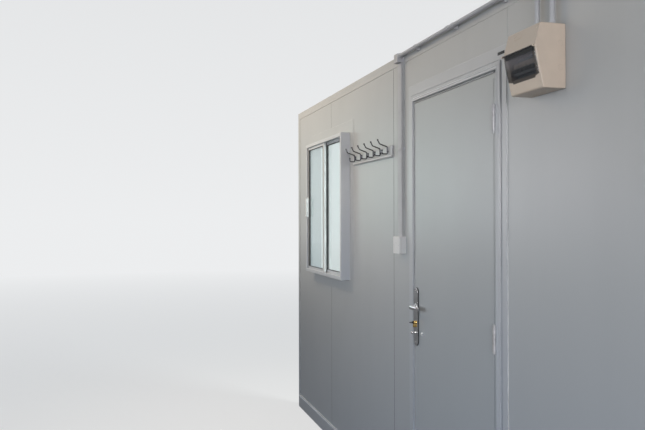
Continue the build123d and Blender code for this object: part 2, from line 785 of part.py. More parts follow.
def breakers(rail_y, middle):
    """Row of breaker modules clipped to the rail, each with its stepped nose and toggle."""
    row = Part()
    first = board_middle - module_width * module_count / 2
    for number in range(module_count):
        s0 = first + number * module_width + module_gap / 2
        s1 = s0 + module_width - module_gap
        body_front = rail_y - module_body
        nose_front = body_front - module_nose
        unit = block(s0, s1, body_front, rail_y, middle - module_height / 2, middle + module_height / 2)
        unit += block(s0, s1, nose_front, body_front, middle - module_nose_height / 2,
                      middle + module_nose_height / 2)
        unit += block(s0 + toggle_inset, s1 - toggle_inset, nose_front - toggle_depth, nose_front,
                      middle - toggle_height / 2, middle)
        row += unit
    return row


def make_skirting():
    """Skirting on each side of the doorway, rebated over the floor channel."""
    back = channel_face
    front = inner_face - skirting_thickness
    section = [(back, 0), (front, 0), (front, skirting_height), (inner_face, skirting_height),
               (inner_face, channel_flange), (back, channel_flange)]
    pieces = {}
    near_end = wall_length - channel_flange
    for name, s0, s1 in (("skirting_far", channel_flange, frame_far), ("skirting_near", frame_near, near_end)):
        board = bar_x(section, s0, s1)
        pieces[name] = fillet(highest(edges_at(board, "Y", front, Axis.X)), skirting_round)
    return pieces


def main():
    """Build every piece and write each to its own file."""
    nodes = {}
    for maker in (make_channels, make_panels, make_door_frame, make_hinges, make_door_leaf, make_handle_set,
                  make_window, make_coat_rail, make_switch, make_conduit, make_board, make_skirting):
        nodes.update(maker())
    os.makedirs("parts", exist_ok=True)
    for name, shape in nodes.items():
        export_step(shape, f"parts/{name}.step")


main()
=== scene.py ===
"""Looks of the site cabin's side wall: paint, metals, plastics, glass and the small fittings on it.

Metres. X runs along the wall towards its near end, the room is on the -Y side, and Z is up.
"""
import json
import random
from math import atan2, copysign, cos, pi, radians, sin, tan
from typing import NamedTuple

import bmesh
import bpy
from mathutils import Matrix, Vector

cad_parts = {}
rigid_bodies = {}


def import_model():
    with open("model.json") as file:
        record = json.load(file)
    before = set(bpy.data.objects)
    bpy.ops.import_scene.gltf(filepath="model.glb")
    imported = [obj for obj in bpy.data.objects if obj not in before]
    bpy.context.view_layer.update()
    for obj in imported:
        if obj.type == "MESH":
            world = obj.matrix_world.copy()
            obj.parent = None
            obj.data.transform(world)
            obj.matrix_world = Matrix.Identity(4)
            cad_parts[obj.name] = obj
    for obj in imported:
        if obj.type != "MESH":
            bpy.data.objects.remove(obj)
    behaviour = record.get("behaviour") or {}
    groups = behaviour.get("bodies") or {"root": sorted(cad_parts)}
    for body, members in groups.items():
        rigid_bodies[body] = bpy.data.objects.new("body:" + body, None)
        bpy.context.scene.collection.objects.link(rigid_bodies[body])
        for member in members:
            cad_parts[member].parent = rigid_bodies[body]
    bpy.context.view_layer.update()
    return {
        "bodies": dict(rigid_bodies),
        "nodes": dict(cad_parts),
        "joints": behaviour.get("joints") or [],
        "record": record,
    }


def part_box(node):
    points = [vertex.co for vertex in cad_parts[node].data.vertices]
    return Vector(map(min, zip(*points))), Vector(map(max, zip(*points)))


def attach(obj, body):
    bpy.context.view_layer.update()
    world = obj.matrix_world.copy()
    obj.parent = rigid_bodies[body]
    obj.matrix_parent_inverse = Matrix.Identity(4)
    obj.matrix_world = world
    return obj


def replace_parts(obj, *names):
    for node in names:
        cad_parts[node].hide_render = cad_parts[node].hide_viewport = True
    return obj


WALL_HALF = 2.277
LENGTH = 2 * WALL_HALF
WALL_TOP = 2.4
ROOM_FACE = -0.025
YARD_FACE = 0.025
CHANNEL_FACE = -0.027
CHANNEL_LIP = 0.05
FRAME_FLAT = -0.031
FRAME_FOOT = 0.02
HINGE_HALF = 0.055
JOINTS = (0.954, 2.154)
ROOM = Vector((0, -1, 0))
YARD = Vector((0, 1, 0))
FAR = Vector((-1, 0, 0))
NEAR = Vector((1, 0, 0))
UP = Vector((0, 0, 1))
DOWN = Vector((0, 0, -1))
CAMERA_PLACE = (3.5797, -1.4721, 1.5388)
CAMERA_YAW, CAMERA_PITCH, CAMERA_ROLL = 0.27475, 0.00442, -0.00223
CAMERA_LENS = 40.637
BACKDROP = (0.84, 0.85, 0.86)
MATERIALS = {}  # by slot, filled by shader()


# Materials

def shader(name, colour, roughness, metallic=0.0, coat=0.0, specular=0.5):
    """Adds a material with a plain principled shader to MATERIALS. Returns its tree and the shader."""
    material = MATERIALS[name] = bpy.data.materials.new(name)
    material.use_nodes = True
    tree = material.node_tree
    body = tree.nodes["Principled BSDF"]
    for socket, value in (("Base Color", (*colour, 1)), ("Roughness", roughness), ("Metallic", metallic),
                          ("Coat Weight", coat), ("Specular IOR Level", specular)):
        body.inputs[socket].default_value = value
    return tree, body


def noise(tree, scale, detail, stretch=(1, 1, 1), rough=0.5):
    """Noise over the object's own coordinates, stretched along the axes."""
    position = tree.nodes.new("ShaderNodeTexCoord")
    mapping = tree.nodes.new("ShaderNodeMapping")
    mapping.inputs["Scale"].default_value = stretch
    texture = tree.nodes.new("ShaderNodeTexNoise")
    texture.inputs["Scale"].default_value = scale
    texture.inputs["Detail"].default_value = detail
    texture.inputs["Roughness"].default_value = rough
    tree.links.new(position.outputs["Object"], mapping.inputs["Vector"])
    tree.links.new(mapping.outputs["Vector"], texture.inputs["Vector"])
    return texture.outputs["Fac"]


def spread(tree, value, low, high, to_low, to_high):
    """Maps a value's range onto another, clamped."""
    node = tree.nodes.new("ShaderNodeMapRange")
    for name, number in (("From Min", low), ("From Max", high), ("To Min", to_low), ("To Max", to_high)):
        node.inputs[name].default_value = number
    tree.links.new(value, node.inputs["Value"])
    return node.outputs["Result"]


def blend_colours(tree, factor, first, second):
    """Mix of two colours, each a tuple or another node's output."""
    node = tree.nodes.new("ShaderNodeMix")
    node.data_type = "RGBA"
    tree.links.new(factor, node.inputs["Factor"])
    for socket, colour in ((node.inputs["A"], first), (node.inputs["B"], second)):
        if isinstance(colour, tuple):
            socket.default_value = (*colour, 1)
        else:
            tree.links.new(colour, socket)
    return node.outputs["Result"]


def scaled(colour, share):
    """Colour times a share."""
    return tuple(channel * share for channel in colour)


def bump(tree, body, heights):
    """Chains bumps of (height output, strength, distance) into the shader's normal."""
    last = None
    for height, strength, distance in heights:
        node = tree.nodes.new("ShaderNodeBump")
        node.inputs["Strength"].default_value = strength
        node.inputs["Distance"].default_value = distance
        tree.links.new(height, node.inputs["Height"])
        if last:
            tree.links.new(last, node.inputs["Normal"])
        last = node.outputs["Normal"]
    tree.links.new(last, body.inputs["Normal"])


def axes(tree, node, output):
    """Outputs X, Y and Z of a vector that a new node of some kind puts out."""
    split = tree.nodes.new("ShaderNodeSeparateXYZ")
    tree.links.new(tree.nodes.new(node).outputs[output], split.inputs["Vector"])
    return split.outputs


def painted_steel(name, colour, roughness, wave=0.0, seed=0.0, painted_shade=0.0):
    """Baked enamel: orange peel, drifting tone and gloss, streaks, specks, soft waves, painted bluish shade
    at the foot and, where asked, painted shade all over.
    """
    tree, body = shader(name, colour, roughness, coat=0.6)
    body.inputs["Coat Roughness"].default_value = 0.2
    drift = spread(tree, noise(tree, 0.9 + seed, 4.0), 0.1, 0.9, 0.0, 1.0)
    # This share takes the whole tone down: an even painted shade, which the door asks for.
    tone = blend_colours(tree, drift, scaled(colour, 0.93 - painted_shade), scaled(colour, 1.03 - painted_shade))
    streaks = spread(tree, noise(tree, 5.0 + seed, 5.0, (1.0, 1.0, 0.1), 0.6), 0.45, 0.8, 0.0, 0.35)
    tone = blend_colours(tree, streaks, tone, scaled(colour, 0.86))
    specks = spread(tree, noise(tree, 90.0, 4.0, rough=0.7), 0.68, 0.82, 0.0, 0.25)
    tone = blend_colours(tree, specks, tone, scaled(colour, 0.66))
    # Painted shade: every painted surface turns darker and bluer towards its foot.
    foot = spread(tree, axes(tree, "ShaderNodeTexCoord", "Object")["Z"], 0.2, 1.7, 0.95, 0.0)
    tone = blend_colours(tree, foot, tone, (colour[0] * 0.66, colour[1] * 0.75, colour[2] * 0.89))
    tree.links.new(tone, body.inputs["Base Color"])
    rough = spread(tree, noise(tree, 3.0, 4.0), 0.0, 1.0, roughness * 0.8, roughness * 1.25)
    tree.links.new(rough, body.inputs["Roughness"])
    layers = [(noise(tree, 650.0, 2.0), 0.05, 0.0004)]
    if wave:
        layers.insert(0, (noise(tree, 2.3, 1.0, (1.0, 1.0, 0.22)), wave, 0.02))
    bump(tree, body, layers)


def metal(name, colour, roughness, grain, stretch=(1, 1, 40), tarnish=0.14):
    """Plated or bare metal with a brushed grain, finger smears and some tarnish."""
    tree, body = shader(name, colour, roughness, metallic=1.0)
    smears = spread(tree, noise(tree, 38.0, 5.0), 0.35, 0.7, roughness * 0.9, roughness * 1.3)
    tree.links.new(smears, body.inputs["Roughness"])
    dulled = spread(tree, noise(tree, 55.0, 4.0), 0.4, 0.7, 0.0, 1.0)
    tone = blend_colours(tree, dulled, colour, scaled(colour, 1 - tarnish))
    tree.links.new(tone, body.inputs["Base Color"])
    bump(tree, body, [(noise(tree, 240.0, 3.0, stretch), grain, 0.0005)])


def plastic(name, colour, roughness, coat=0.0, dust=0.0):
    """Plastic or rubber: fine moulded texture, faint handling marks, and painted shade on what leans upwards.
    """
    tree, body = shader(name, colour, roughness, coat=coat)
    handled = spread(tree, noise(tree, 14.0, 5.0), 0.4, 0.75, 0.0, 1.0)
    tone = blend_colours(tree, handled, colour, scaled(colour, 0.92))
    # The dust share darkens the faces that lean upwards: painted shade.
    if dust:
        lean = spread(tree, axes(tree, "ShaderNodeNewGeometry", "True Normal")["Z"], 0.08, 0.24, 0.0, 1.0)
        tone = blend_colours(tree, lean, tone, scaled(colour, 1 - dust))
    tree.links.new(tone, body.inputs["Base Color"])
    rough = spread(tree, noise(tree, 30.0, 3.0), 0.3, 0.7, roughness * 0.85, roughness * 1.25)
    tree.links.new(rough, body.inputs["Roughness"])
    bump(tree, body, [(noise(tree, 1400.0, 2.0), 0.08, 0.0002)])


def pane_glass(name):
    """Clear float glass with a green tint and a little dust."""
    tree, body = shader(name, (0.84, 0.95, 0.93), 0.02)
    body.inputs["Transmission Weight"].default_value = 1.0
    body.inputs["IOR"].default_value = 1.25
    body.inputs["Alpha"].default_value = 0.85
    dust = spread(tree, noise(tree, 6.0, 6.0), 0.5, 0.85, 0.015, 0.12)
    tree.links.new(dust, body.inputs["Roughness"])


def smoked(name):
    """Clear smoked plastic, seen through, with polishing haze."""
    tree, body = shader(name, (0.035, 0.037, 0.042), 0.08, specular=0.3)
    body.inputs["Alpha"].default_value = 0.42
    rough = spread(tree, noise(tree, 20.0, 4.0), 0.4, 0.8, 0.05, 0.16)
    tree.links.new(rough, body.inputs["Roughness"])
    bump(tree, body, [(noise(tree, 60.0, 2.0), 0.04, 0.0004)])


def make_materials():
    """Every material, named as its slot in the record."""
    painted_steel("panel_paint", (0.46, 0.46, 0.455), 0.37, wave=0.05)
    painted_steel("channel_paint", (0.48, 0.48, 0.475), 0.4, seed=0.4)
    painted_steel("trim_paint", (0.5, 0.5, 0.505), 0.36, seed=0.7)
    # The door's share of 0.1 is an even painted shade over its paint.
    painted_steel("door_paint", (0.46, 0.465, 0.46), 0.36, wave=0.04, seed=0.3, painted_shade=0.1)
    painted_steel("window_paint", (0.6, 0.605, 0.62), 0.36, seed=0.2)
    metal("sill_steel", (0.62, 0.62, 0.63), 0.34, 0.2, (1, 40, 40))
    metal("hinge_steel", (0.66, 0.66, 0.68), 0.64, 0.1)
    metal("chrome", (0.78, 0.78, 0.79), 0.08, 0.03)
    metal("brass", (0.8, 0.55, 0.2), 0.2, 0.05, tarnish=0.55)
    metal("dark_metal", (0.1, 0.1, 0.11), 0.2, 0.03)
    plastic("grey_seal", (0.42, 0.42, 0.42), 0.55)
    plastic("seal_rubber", (0.05, 0.05, 0.05), 0.62)
    pane_glass("glass")
    plastic("white_plastic", (0.7, 0.7, 0.7), 0.36)
    plastic("conduit_plastic", (0.44, 0.44, 0.455), 0.36)
    # The board's share on its upward faces is painted shade.
    plastic("beige_plastic", (0.64, 0.53, 0.43), 0.36, coat=0.1, dust=0.24)
    smoked("smoked_plastic")
    plastic("breaker_plastic", (0.3, 0.3, 0.31), 0.45)
    plastic("sealant", (0.56, 0.56, 0.55), 0.42)


def dress_nodes(frame):
    """Gives every CAD node the finish of its slot."""
    for part in frame["record"]["subparts"]:
        node = frame["nodes"][part["node"]]
        node.data.materials.clear()
        node.data.materials.append(MATERIALS[part["material_slot"]])


# Shapes: each maker returns (points, faces), and piece() joins several into one object

def place(s, y, z):
    """Point in the frame from a distance along the wall from its far end."""
    return Vector((s - WALL_HALF, y, z))


def piece(name, shapes, slot, body="wall", sharp=35.0):
    """One object from several shapes. It rides on a body and takes its finish from a slot."""
    points, faces = [], []
    for more_points, more_faces in shapes:
        start = len(points)
        points.extend(tuple(point) for point in more_points)
        faces.extend([start + index for index in face] for face in more_faces)
    mesh = bpy.data.meshes.new(name)
    mesh.from_pydata(points, [], faces)
    work = bmesh.new()
    work.from_mesh(mesh)
    bmesh.ops.recalc_face_normals(work, faces=work.faces)
    work.to_mesh(mesh)
    work.free()
    mesh.polygons.foreach_set("use_smooth", [True] * len(mesh.polygons))
    mesh.set_sharp_from_angle(angle=radians(sharp))
    mesh.materials.append(MATERIALS[slot])
    obj = bpy.data.objects.new(name, mesh)
    bpy.context.collection.objects.link(obj)
    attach(obj, body)
    return obj


def loft(rings, closed=False, caps=True):
    """Skin over rings that have equally many points, joined end to end if closed."""
    count = len(rings[0])
    points = [point for ring in rings for point in ring]
    last = len(rings) if closed else len(rings) - 1
    faces = []
    for row in range(last):
        upper = (row + 1) % len(rings)
        for column in range(count):
            beside = (column + 1) % count
            faces.append([row * count + column, row * count + beside,
                          upper * count + beside, upper * count + column])
    if caps and not closed:
        faces.append(list(range(count)))
        faces.append([(len(rings) - 1) * count + column for column in range(count)])
    return points, faces


def oval(centre, across, up, width, height, sides=20, power=2.0):
    """Ring of points round a centre: an ellipse, or squarer with a higher power."""
    ring = []
    for step in range(sides):
        angle = 2 * pi * step / sides
        c, s = cos(angle), sin(angle)
        x = copysign(abs(c) ** (2 / power), c) * width
        y = copysign(abs(s) ** (2 / power), s) * height
        ring.append(centre + across * x + up * y)
    return ring


def lathe(profile, centre, axis, sides):
    """Turned shape: (radius, height) pairs round an axis of length 1 through a centre."""
    across = axis.orthogonal().normalized()
    up = axis.cross(across)
    return loft([oval(centre + axis * height, across, up, radius, radius, sides)
                 for radius, height in profile])


def bent(points, radius):
    """Line through points, each corner rounded to about a radius."""
    steps = 7
    line = [points[0]]
    for before, corner, after in zip(points, points[1:], points[2:]):
        back, ahead = before - corner, after - corner
        turn = pi - back.angle(ahead)
        cut = min(radius * tan(turn / 2), 0.48 * back.length, 0.48 * ahead.length)
        first = corner + back.normalized() * cut
        last = corner + ahead.normalized() * cut
        for step in range(steps + 1):
            t = step / steps
            line.append((1 - t) ** 2 * first + 2 * t * (1 - t) * corner + t ** 2 * last)
    line.append(points[-1])
    return line


def direction(line, index):
    """Direction of a line at one of its points."""
    return (line[min(index + 1, len(line) - 1)] - line[max(index - 1, 0)]).normalized()


def tube(line, first, middle, last):
    """Round tube along a line, with its radius at the start, halfway and at the end."""
    steps = [0.0] + [(ahead - point).length for point, ahead in zip(line, line[1:])]
    across = direction(line, 0).orthogonal().normalized()
    rings = []
    gone = 0.0
    for index, point in enumerate(line):
        gone += steps[index]
        ahead = direction(line, index)
        across = (across - ahead * across.dot(ahead)).normalized()
        halves = 2 * gone / sum(steps)
        radius = first + (middle - first) * halves if halves < 1 else middle + (last - middle) * (halves - 1)
        rings.append(oval(point, across, ahead.cross(across), radius, radius, 12))
    return loft(rings)


def evenly(first, last, count):
    """So many numbers from the first to the last, in equal steps."""
    return [first + (last - first) * number / (count - 1) for number in range(count)]


def screw(centre, out, radius, dome=0.001):
    """Pan head with a cross recess, which is turned a little."""
    across = out.orthogonal().normalized()
    up = out.cross(across)
    rows, sides, spin = 9, 32, 0.5
    points, faces = [centre + out * dome * 0.25], []
    for row in range(1, rows + 1):
        share = row / rows
        for step in range(sides):
            angle = 2 * pi * step / sides
            height = dome * (1 - share ** 2) ** 0.5 if share < 1 else 0.0
            if share < 0.62 and min(abs(cos(angle)), abs(sin(angle))) * share < 0.12:
                height *= 0.25
            outwards = across * cos(angle + spin) + up * sin(angle + spin)
            points.append(centre + outwards * radius * share + out * height)
    for step in range(sides):
        faces.append([0, 1 + step, 1 + (step + 1) % sides])
    for row in range(rows - 1):
        for step in range(sides):
            a = 1 + row * sides + step
            b = 1 + row * sides + (step + 1) % sides
            faces.append([a, a + sides, b + sides, b])
    return points, faces


def rivet(centre, out, radius=0.0048, dome=0.0016):
    """Domed pop rivet with the dimple of its mandrel."""
    profile = ((1.0, 0.0), (0.97, 0.45), (0.72, 0.9), (0.42, 1.0), (0.3, 0.95), (0.24, 0.5), (0.02, 0.5))
    return lathe([(radius * wide, dome * high) for wide, high in profile], centre, out, 20)


def bead(start, end, first, second, size):
    """Hollow-faced sealant bead in the corner of two faces that run off towards first and second."""
    steps = max(2, int((end - start).length / 0.03))
    rings = []
    for step in range(steps + 1):
        at = start.lerp(end, step / steps)
        wide = size * random.uniform(0.86, 1.14)
        middle = (first + second) * wide * random.uniform(0.3, 0.38)
        rings.append([at - (first + second) * 0.0003, at + first * wide - second * 0.0003,
                      at + first * wide * 0.6 + second * wide * 0.16, at + middle,
                      at + first * wide * 0.16 + second * wide * 0.6, at + second * wide - first * 0.0003])
    return loft(rings)


def framing(box, section):
    """Mitred ring along a box's outline, its section given as (distance inwards, y) points."""
    rings = []
    for s, z, ds, dz in ((box.far, box.low, 1, 1), (box.near, box.low, -1, 1), (box.near, box.high, -1, -1),
                         (box.far, box.high, 1, -1)):
        rings.append([place(s + ds * inward, y, z + dz * inward) for inward, y in section])
    return loft(rings, closed=True)


def slab(along, deep, tall, round_by=0.0004, steps=1):
    """Box with rounded edges, from its limits along the wall, in depth and in height."""
    low, high = place(min(along), min(deep), min(tall)), place(max(along), max(deep), max(tall))
    work = bmesh.new()
    bmesh.ops.create_cube(work, size=1.0)
    for vert in work.verts:
        vert.co = Vector((low[i] if vert.co[i] < 0 else high[i] for i in range(3)))
    bmesh.ops.bevel(work, geom=work.edges[:], offset=round_by, segments=steps, profile=0.5, affect="EDGES")
    work.verts.ensure_lookup_table()
    points = [vert.co.copy() for vert in work.verts]
    faces = [[vert.index for vert in face.verts] for face in work.faces]
    work.free()
    return points, faces


# Pieces

class Span(NamedTuple):
    """Box of a CAD node: along the wall from its far end, in depth from the room, and in height."""
    far: float
    near: float
    front: float
    back: float
    low: float
    high: float

    @property
    def mid_s(self):
        """Middle along the wall."""
        return (self.far + self.near) / 2

    @property
    def mid_y(self):
        """Middle of the depth."""
        return (self.front + self.back) / 2

    @property
    def mid_z(self):
        """Middle height."""
        return (self.low + self.high) / 2

    def face(self, out):
        """Depth of the face that looks into the room or the yard."""
        return self.front if out.y < 0 else self.back


def span(node):
    """Box of a CAD node, by its name."""
    low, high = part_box(node)
    return Span(low.x + WALL_HALF, high.x + WALL_HALF, low.y, high.y, low.z, high.z)


def make_coat_hooks():
    """Bent rod hooks with swaged roots and ball tips, and the rail's screws, white strips painted as its
    lower edge's highlight, and sealant.
    """
    rail = span("coat_rail")
    front, low = rail.front, rail.low
    root, middle, top, foot = front - 0.0055, low + 0.0315, low + 0.057, low + 0.018
    upper = [(root, middle - 0.002), (root, top), (root - 0.046, top + 0.016), (root - 0.056, top + 0.037)]
    lower = [(root, middle + 0.002), (root, foot), (root - 0.031, foot), (root - 0.031, foot + 0.02)]
    washer = [(0.0062, 0.0), (0.0062, 0.0014), (0.0052, 0.0024), (0.0008, 0.0026)]
    hooks = []
    for s in evenly(rail.far + 0.048, rail.near - 0.048, 6):
        for path, corner, end, ball in ((upper, 0.009, 0.003, 0.0048), (lower, 0.011, 0.0032, 0.0046)):
            line = bent([place(s, y, z) for y, z in path], corner)
            hooks.append(tube(line, 0.004, 0.0037, end))
            profile = [(ball * sin(angle), -ball * cos(angle)) for angle in evenly(0.02 * pi, 0.98 * pi, 11)]
            hooks.append(lathe(profile, line[-1], UP, 18))
        hooks.append(lathe(washer, place(s, front, middle), ROOM, 20))
    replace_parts(piece("hook_rods", hooks, "dark_metal"), "coat_hooks")
    # White strips on the rail's lower front edge and underside: a painted highlight.
    ends = (rail.far + 0.004, rail.near - 0.004)
    strips = [slab(ends, (front - 0.0014, front + 0.0006), (low + 0.003, low + 0.0095), 0.0006, 2),
              slab(ends, (front + 0.003, ROOM_FACE - 0.002), (low - 0.0014, low + 0.0004), 0.0005, 2)]
    piece("rail_painted_highlight", strips, "white_plastic")
    fixings = [screw(place(s, front, middle), ROOM, 0.0038, 0.0016)
               for s in (rail.far + 0.018, rail.mid_s, rail.near - 0.018)]
    piece("rail_screws", fixings, "hinge_steel")
    beads = [bead(place(rail.far, ROOM_FACE, z), place(rail.near, ROOM_FACE, z), out, ROOM, 0.0028)
             for z, out in ((rail.high, UP), (low, DOWN))]
    piece("rail_sealant", beads, "sealant")


def make_lever(node, plate, out):
    """Lever with a turned neck, an oval bend and a grip that swells, flattens and curls at its end."""
    lever, plate = span(node), span(plate)
    s, z = plate.mid_s, lever.mid_z
    start = plate.face(out) + 0.0003 * out.y
    reach = lever.face(out) - 0.007 * out.y - start
    # Along the grip, share of the reach, half thickness, half height
    stations = [(0.0, 0.0, 0.0082, 0.0096), (0.0, 0.45, 0.0078, 0.0092), (0.003, 0.78, 0.0076, 0.0096),
                (0.011, 0.97, 0.0074, 0.0104), (0.026, 1.0, 0.0068, 0.0112), (0.048, 0.99, 0.0066, 0.0108),
                (0.072, 0.97, 0.0064, 0.011), (0.09, 0.95, 0.006, 0.0116), (0.102, 0.9, 0.005, 0.0106),
                (0.106, 0.83, 0.0024, 0.0066)]
    line = [place(s + along, start + reach * share, z) for along, share, _, _ in stations]
    rings = []
    for index, (_, _, thick, high) in enumerate(stations):
        across = direction(line, index).cross(UP).normalized()
        rings.append(oval(line[index], across, UP, thick, high, 24, 2.4))
    neck = lathe([(0.0108, 0.0), (0.0108, 0.0035), (0.01, 0.005), (0.0096, 0.012), (0.0088, 0.0135),
                  (0.004, 0.0138)], place(s, start, z), out, 32)
    grip = piece(node + "_grip", [loft(rings), neck], "chrome", "lever", 50)
    rounder = grip.modifiers.new("subdivide", "SUBSURF")
    rounder.levels = rounder.render_levels = 1
    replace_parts(grip, node)


def arch(s, z0, z1, half, y):
    """Outline of a plate with arched ends, as points round it at one depth."""
    ring = []
    for middle, first in ((z1 - half, 0.0), (z0 + half, pi)):
        for angle in evenly(first, first + pi, 17):
            ring.append(place(s + half * cos(angle), y, middle + half * sin(angle)))
    return ring


def make_lock():
    """Levers, and the dark bases, screws and collars of their plates; the bases' dark rims are painted shade
    at the plates' edges.
    """
    make_lever("lever_inside", "plate_inside", ROOM)
    make_lever("lever_outside", "plate_outside", YARD)
    collar = [(0.015, 0.0), (0.015, 0.0006), (0.0142, 0.001), (0.0114, 0.001), (0.0114, 0.0)]
    # Growth of the outline, share of the plate's thickness
    steps = [(0.0006, 0.02), (0.0008, 0.1), (0.0008, 0.66), (0.0004, 0.72), (-0.003, 0.72)]
    for side, out in (("inside", ROOM), ("outside", YARD)):
        node = "plate_" + side
        plate, lever = span(node), span("lever_" + side)
        face, back = plate.face(out), plate.face(-out)
        half = (plate.near - plate.far) / 2
        # The dark rubber base round each plate stands for the shade at the plate's edge: painted shade.
        base = [arch(plate.mid_s, plate.low - grow, plate.high + grow, half + grow,
                     back + (face - back) * share) for grow, share in steps]
        piece(node + "_base", [loft(base, caps=False)], "seal_rubber", "door", 50)
        fixings = [screw(place(plate.mid_s, face, z), out, 0.0042, 0.0018)
                   for z in (plate.low + 0.016, plate.high - 0.016)]
        piece(node + "_screws", fixings, "chrome", "door")
        ring = lathe(collar, place(plate.mid_s, face, lever.mid_z), out, 36)
        piece(node + "_collar", [ring], "chrome", "door")


def make_turn():
    """Thumb turn, the chrome snib under it and the stud beside that, painted white as a glint."""
    turn, cylinder = span("thumb_turn"), span("lock_cylinder")
    s, front = turn.mid_s, cylinder.front
    # Depth before the cylinder, half width, half thickness
    wing = [(0.0003, 0.0062, 0.0062), (0.004, 0.0064, 0.0058), (0.008, 0.0094, 0.0034),
            (0.012, 0.0118, 0.0027), (0.016, 0.0112, 0.0024), (0.018, 0.0086, 0.0016)]
    rings = [oval(place(s, front - depth, turn.mid_z), NEAR, UP, wide, thick, 24, 2.6)
             for depth, wide, thick in wing]
    stem = lathe([(0.0034, -0.009), (0.0034, 0.001)], place(s, front, turn.mid_z), ROOM, 20)
    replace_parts(piece("turn_wing", [loft(rings), stem], "dark_metal", "turn", 50), "thumb_turn")
    knob = [(0.0062, 0.0), (0.0062, 0.002), (0.0044, 0.004), (0.0042, 0.011), (0.0068, 0.015),
            (0.0074, 0.019), (0.006, 0.0225), (0.003, 0.024), (0.0004, 0.0243)]
    stud = [(0.0086, 0.0), (0.0086, 0.0016), (0.0076, 0.0044), (0.005, 0.0066), (0.0004, 0.0074)]
    z = cylinder.low - 0.026
    snib = lathe(knob, place(s, span("plate_inside").front, z), ROOM, 28)
    piece("snib_knob", [snib], "chrome", "door", 45)
    # The stud is white to paint the glint seen on it: a painted highlight.
    beside = lathe(stud, place(turn.near + 0.05, span("door_skin_inside").front, z), ROOM, 28)
    piece("door_stud_painted_glint", [beside], "white_plastic", "door", 45)


def make_hinge_screws():
    """Countersunk screws in the hinge plates, the lock's edge plate and the strike."""
    hinges, from_end = span("leaf_hinges"), 0.0365
    edge = span("door_core").near
    for name, s, out, body in (("leaf_hinge_screws", edge, NEAR, "door"),
                               ("frame_hinge_screws", edge + 0.006, FAR, "wall")):
        screws = [screw(place(s, depth, centre + offset), out, 0.0042)
                  for centre in (hinges.low + from_end, hinges.mid_z, hinges.high - from_end)
                  for offset, depth in ((-0.04, -0.012), (0.0, -0.022), (0.04, -0.012))]
        piece(name, screws, "hinge_steel", body)
    for node, body, out in (("lock_forend", "door", FAR), ("strike_plate", "wall", NEAR)):
        plate = span(node)
        face = plate.far if out is FAR else plate.near
        screws = [screw(place(face, plate.mid_y, z), out, 0.0036, 0.0008)
                  for z in (plate.low + 0.01, plate.high - 0.01)]
        piece(node + "_screws", screws, "sill_steel", body)


def edge_beads(box, y, out, size, foot=True):
    """Beads on a face up both sides of a box, over its top and, if wanted, along its foot."""
    low_far, low_near = place(box.far, y, box.low), place(box.near, y, box.low)
    top_far, top_near = place(box.far, y, box.high), place(box.near, y, box.high)
    edges = [(low_far, top_far, FAR), (low_near, top_near, NEAR), (top_far, top_near, UP)]
    if foot:
        edges.append((low_far, low_near, DOWN))
    return [bead(start, end, away, out, size) for start, end, away in edges]


def make_frame_beads():
    """Hand-run sealant round the door frame and the window, and along the skirting and head."""
    frame, cover = span("frame_head"), span("window_band")
    skirtings = span("skirting_far"), span("skirting_near")
    beads = edge_beads(frame._replace(low=skirtings[0].high), ROOM_FACE, ROOM, 0.0028, foot=False)
    beads += edge_beads(frame._replace(low=CHANNEL_LIP), YARD_FACE, YARD, 0.0045, foot=False)
    piece("door_frame_sealant", beads, "sealant")
    beads = edge_beads(cover, ROOM_FACE, ROOM, 0.0018)
    beads += edge_beads(span("window_frame"), cover.front, ROOM, 0.003)
    beads += edge_beads(span("window_flange"), YARD_FACE, YARD, 0.004)
    piece("window_sealant", beads, "sealant")
    lines = [(box.far, box.near, box.high, UP, 0.0026) for box in skirtings]
    lines.append((0.052, LENGTH - 0.052, WALL_TOP - CHANNEL_LIP, DOWN, 0.0022))
    beads = [bead(place(s0, ROOM_FACE, z), place(s1, ROOM_FACE, z), out, ROOM, size)
             for s0, s1, z, out, size in lines]
    piece("trim_sealant", beads, "sealant")


def make_joint_seals():
    """Dark filler in the V joints between the panels, on both faces and broken by the window."""
    section = [(-0.0019, 0.00005), (-0.0008, 0.0004), (0.0008, 0.0004), (0.0019, 0.00005), (0.0002, 0.0018),
               (-0.0002, 0.0018)]
    head = WALL_TOP - CHANNEL_LIP
    strips = []
    for face, way, foot, cover in ((ROOM_FACE, 1, span("skirting_far").high, span("window_band")),
                                   (YARD_FACE, -1, CHANNEL_LIP, span("window_flange"))):
        stretches = (JOINTS[0], foot, cover.low), (JOINTS[0], cover.high, head), (JOINTS[1], foot, head)
        for s, *ends in stretches:
            strips.append(loft([[place(s + across, face + way * deep, z) for across, deep in section]
                                for z in ends]))
    piece("joint_seals", strips, "seal_rubber", sharp=20)


def make_rivets():
    """Pop rivets through the channels, inside and outside, and round the window's outer flange."""
    small = (ROOM, 0.0036, 0.0011)
    doorway = (2.36, 3.38)
    rivets = []
    for s in evenly(0.12, LENGTH - 0.12, 15):
        rivets.append(rivet(place(s, CHANNEL_FACE, WALL_TOP - 0.036), *small))
        rivets.append(rivet(place(s, -CHANNEL_FACE, WALL_TOP - 0.03), YARD))
        if not doorway[0] < s < doorway[1]:
            rivets.append(rivet(place(s, -CHANNEL_FACE, 0.028), YARD))
    for z in evenly(0.2, 2.2, 8):
        for s in (0.03, LENGTH - 0.03):
            rivets.append(rivet(place(s, -CHANNEL_FACE, z), YARD))
            rivets.append(rivet(place(s, CHANNEL_FACE, z), *small))
    piece("channel_rivets", rivets, "channel_paint")
    flange = span("window_flange")
    sides, levels = ((low + 0.013, high - 0.013)
                     for low, high in ((flange.far, flange.near), (flange.low, flange.high)))
    spots = [(s, z) for s in evenly(*sides, 7) for z in levels]
    spots += [(s, z) for z in evenly(*levels, 7)[1:-1] for s in sides]
    rivets = [rivet(place(s, flange.back, z), YARD, 0.0042) for s, z in spots]
    piece("window_rivets", rivets, "window_paint")


